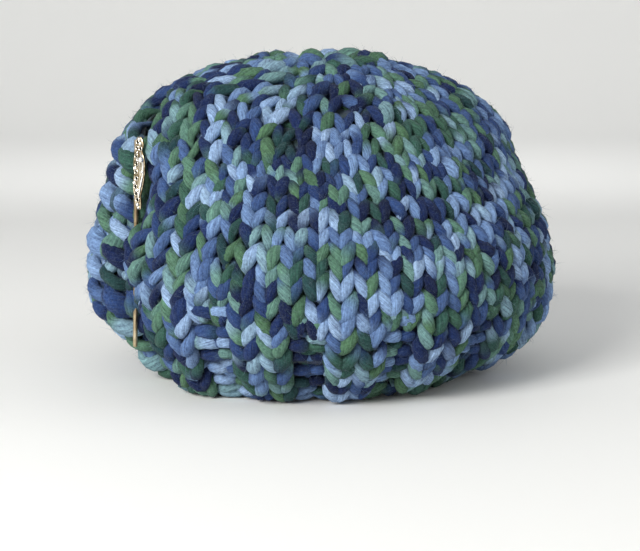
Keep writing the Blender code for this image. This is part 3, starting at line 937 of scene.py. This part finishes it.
bent_wire([(0.7, 0.94 * aside, down) for aside, down in round_the_head], 0.95, closed=True)
bent_wire([(1.0, 0.8, 7.2), (1.2, 1.8, 9.6), (1.2, 2.6, 13.0), (1.0, 2.6, 17.6), (0.9, 2.1, 21.0)], 1.4)
bent_wire([(1.0, 2.3, 19.6), (1.1, 1.6, 22.6), (1.0, 0.6, 26.5), (0.9, -0.2, 29.8)], 1.5)
bent_wire([(1.0, 0.2, 9.8), (1.1, 0.7, 14.2), (1.1, 0.9, 18.6), (1.0, 0.1, 23.4), (0.9, -0.9, 27.0)], 0.8)
HEAD_COILS = (
    # down, sideways, size, turning to the right or to the left
    (10.9, -0.4, 1.0, 1), (15.4, -2.6, 0.8, -1), (22.6, -2.8, 0.9, 1), (26.4, -1.0, 0.8, -1),
)
HEAD_BEADS = (
    # down, sideways, radius, how much taller than round
    (0.7, 0.2, 0.9, 1.0), (2.9, 1.0, 1.0, 1.3), (7.4, -0.9, 0.7, 1.0), (11.0, 1.5, 1.7, 1.8),
    (17.0, 2.3, 0.9, 1.4), (21.4, 1.9, 0.8, 1.3), (25.0, 0.9, 0.7, 1.3), (33.6, -0.5, 1.2, 1.3),
    (35.2, 0.0, 0.8, 1.0),
)
for down, aside, size, way in HEAD_COILS:
    spin = np.linspace(0, 7.0, 20)
    coil = size * (1 - 0.09 * spin)
    bent_wire([(1.45, aside + r * math.cos(a), down + way * r * math.sin(a))
               for r, a in zip(coil, spin)], 0.62)
for down, aside, size, tall in HEAD_BEADS:
    deselect_all()
    bpy.ops.mesh.primitive_uv_sphere_add(segments=16, ring_count=10, radius=size / 1000)
    bpy.context.object.scale = (1 / tall, 1, tall)
    head_part(1.25, aside, down)
deselect_all()
for part in head_parts:
    part.select_set(True)
bpy.context.view_layer.objects.active = plate
bpy.ops.object.join()
pin_head = bpy.context.object
pin_head.name = "pin_scrolled_head"
pin_head.data.transform(head_frame)
bpy.ops.object.shade_smooth_by_angle(angle=math.radians(40))

silver, make, shader = finish_of("antique_silver", Metallic=1.0)
place = make.node("TexCoord", out="Object")
outwards = head_frame.to_3x3() @ Vector((1, 0, 0))
risen = make.node("VectorMath", {"operation": "DOT_PRODUCT"}, {0: place, 1: tuple(outwards)}, out="Value")
risen = (risen - outwards.dot(head_frame.translation)) * 1000
worn_patch = make.node("TexNoise", {}, {"Vector": place, "Scale": 420.0, "Detail": 3.0}, out="Fac")
tarnish = (risen + (worn_patch - 0.5) * 0.9).between(0.7, 1.7)
metal = make.node("ValToRGB", {"stops": (
    (0.0, (0.030, 0.022, 0.014)), (0.35, (0.24, 0.18, 0.10)), (0.62, (0.72, 0.63, 0.47)),
    (1.0, (0.97, 0.95, 0.90)))}, {0: tarnish})
feed(shader, Base_Color=metal, Roughness=tarnish.between(0.0, 1.0, 0.50, 0.16),
     Normal=make.node("Bump", {}, {"Strength": 0.35, "Distance": 0.0002, "Height": worn_patch}))
pin_head.data.materials.clear()
pin_head.data.materials.append(silver)
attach(pin_head, "root")
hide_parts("pin_head")

brass, make, shader = finish_of("aged_brass", Metallic=1.0)
place = make.node("TexCoord", out="Object")
drawn = make.node("Mapping", {}, {0: place, 3: (1.0, 1.0, 0.06)})
scratch = make.node("TexNoise", {}, {"Vector": drawn, "Scale": 2600.0, "Detail": 3.0}, out="Fac")
dull = make.node("TexNoise", {}, {"Vector": place, "Scale": 160.0, "Detail": 3.0}, out="Fac")
aged = make.node("ValToRGB", {"stops": (
    (0.30, (0.16, 0.11, 0.060)), (0.50, (0.42, 0.33, 0.20)), (0.70, (0.62, 0.53, 0.37)))},
    {0: dull * 0.6 + scratch * 0.4})
feed(shader, Base_Color=aged,
    Roughness=scratch.between(0.3, 0.7, 0.28, 0.50),
    Normal=make.node("Bump", {}, {"Strength": 0.25, "Distance": 0.0001, "Height": scratch}))
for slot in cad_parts["pin_needle"].material_slots:
    slot.material = brass


# ---------------------------------------------------------------- floor, light and camera
FLAT, COVE, BACK_TOP = 1.8, 0.9, 2.2   # the floor's radius, the curve at its rim, and the wall's top
deselect_all()
bpy.ops.mesh.primitive_circle_add(vertices=96, radius=FLAT, fill_type="NGON")
floor = bpy.context.object
floor.name = "floor"
bpy.ops.object.mode_set(mode="EDIT")
bpy.ops.mesh.select_mode(type="EDGE")
bpy.ops.mesh.select_all(action="SELECT")
bpy.ops.mesh.region_to_loop()
rim, rise = FLAT, 0.0
bends = np.linspace(0, math.pi / 2, 13)[1:].tolist()
round_the_cove = [(FLAT + COVE * math.sin(bend), COVE * (1 - math.cos(bend))) for bend in bends]
for wider, higher in round_the_cove + [(FLAT + COVE, BACK_TOP)]:
    bpy.ops.mesh.extrude_region_move(TRANSFORM_OT_translate={"value": (0, 0, higher - rise)})
    bpy.ops.transform.resize(value=(wider / rim, wider / rim, 1), center_override=(0, 0, 0))
    rim, rise = wider, higher
bpy.ops.object.mode_set(mode="OBJECT")
bpy.ops.object.shade_smooth_by_angle(angle=math.radians(60))
pale, make, shader = finish_of("pale_floor", Roughness=0.7, Base_Color=(0.90, 0.90, 0.885, 1.0))
floor.data.materials.append(pale)
world = bpy.data.worlds.new("soft_room")
bpy.context.scene.world = world
world.use_nodes = True
world.node_tree.nodes["Background"].inputs[0].default_value = (0.97, 0.98, 1.0, 1.0)
world.node_tree.nodes["Background"].inputs[1].default_value = 0.46


def soft_light(name, place, power, size, colour, aim=(0, 0, 0.08)):
    light = bpy.data.lights.new(name, "AREA")
    light.energy, light.size, light.color = power, size, colour
    lamp = bpy.data.objects.new(name, light)
    bpy.context.scene.collection.objects.link(lamp)
    lamp.location = place
    lamp.rotation_euler = (Vector(aim) - lamp.location).to_track_quat("-Z", "Y").to_euler()


soft_light("window", (-1.15, -1.0, 0.80), 30, 0.7, (1.0, 0.99, 0.96))
soft_light("fill", (1.2, -0.5, 0.8), 3, 1.0, (0.93, 0.96, 1.0))
soft_light("backdrop", (0.3, 1.0, 0.8), 3.5, 1.0, (1.0, 1.0, 1.0), (0.6, 2.4, 0.1))
camera = bpy.data.objects.new("camera", bpy.data.cameras.new("camera"))
bpy.context.scene.collection.objects.link(camera)
bpy.context.scene.camera = camera
VIEW_WIDTH, SENSOR = 0.3456, 36   # what the picture takes in across the cosy, in metres; its film, in mm
away, turn = 0.85, math.radians(-15)
camera.location = (away * math.sin(turn), -away * math.cos(turn), 0.185)
camera.data.lens = SENSOR * away / VIEW_WIDTH
camera.rotation_euler = (Vector((0, 0, 0.0497)) - camera.location).to_track_quat("-Z", "Y").to_euler()
bpy.context.scene.view_settings.view_transform = "Standard"
